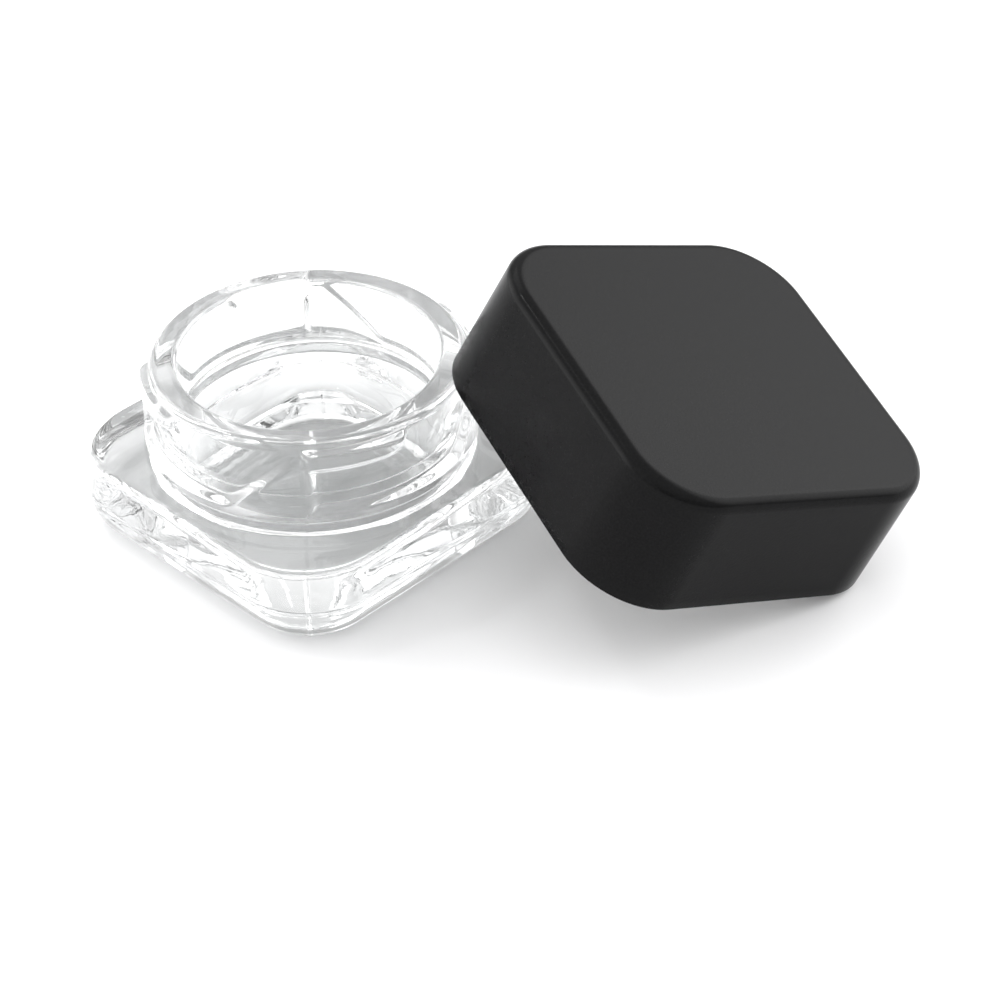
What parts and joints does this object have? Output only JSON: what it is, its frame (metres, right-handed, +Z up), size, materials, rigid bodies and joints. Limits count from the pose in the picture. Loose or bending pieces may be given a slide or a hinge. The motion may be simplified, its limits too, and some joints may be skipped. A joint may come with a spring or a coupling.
{
  "type": "specimen jar",
  "caption": "Small square clear-glass jar with a round bayonet neck and thick base; its matte black square push-and-turn cap lies off it, leaning on the rim.",
  "frame": {"origin": "middle of the jar's flat base, on the table", "axes": "+Z up along the neck's axis; +X and +Y square to the jar's flat sides; the cap lies towards +X and -Y"},
  "size_m": [0.0572, 0.0674, 0.0296],
  "materials": {
    "clear_glass": "clear moulded glass, fire-polished",
    "black_cap": "fine satin texture, moulded",
    "black_insert": "plain moulded",
    "natural_plastic": "translucent natural polyethylene",
    "white_foam": "closed-cell polyethylene foam with a smooth face"
  },
  "bodies": {
    "jar": {"glass_jar": "clear_glass"},
    "cap": {"outer_cap": "black_cap", "bayonet_insert": "black_insert", "spring_disc": "natural_plastic"},
    "seal": {"seal_liner": "white_foam"}
  },
  "joints": [
    {"name": "cap_lift", "type": "slide", "parent": "jar", "child": "cap", "axis": [0, 0, 1], "range_m": [0, 0.04]},
    {"name": "seal_press", "type": "slide", "parent": "cap", "child": "seal", "axis": [0.264, -0.344, 0.9011], "range_m": [0, 0.0013], "stiffness_N_per_m": 3000, "deforming": ["spring_disc"]}
  ]
}
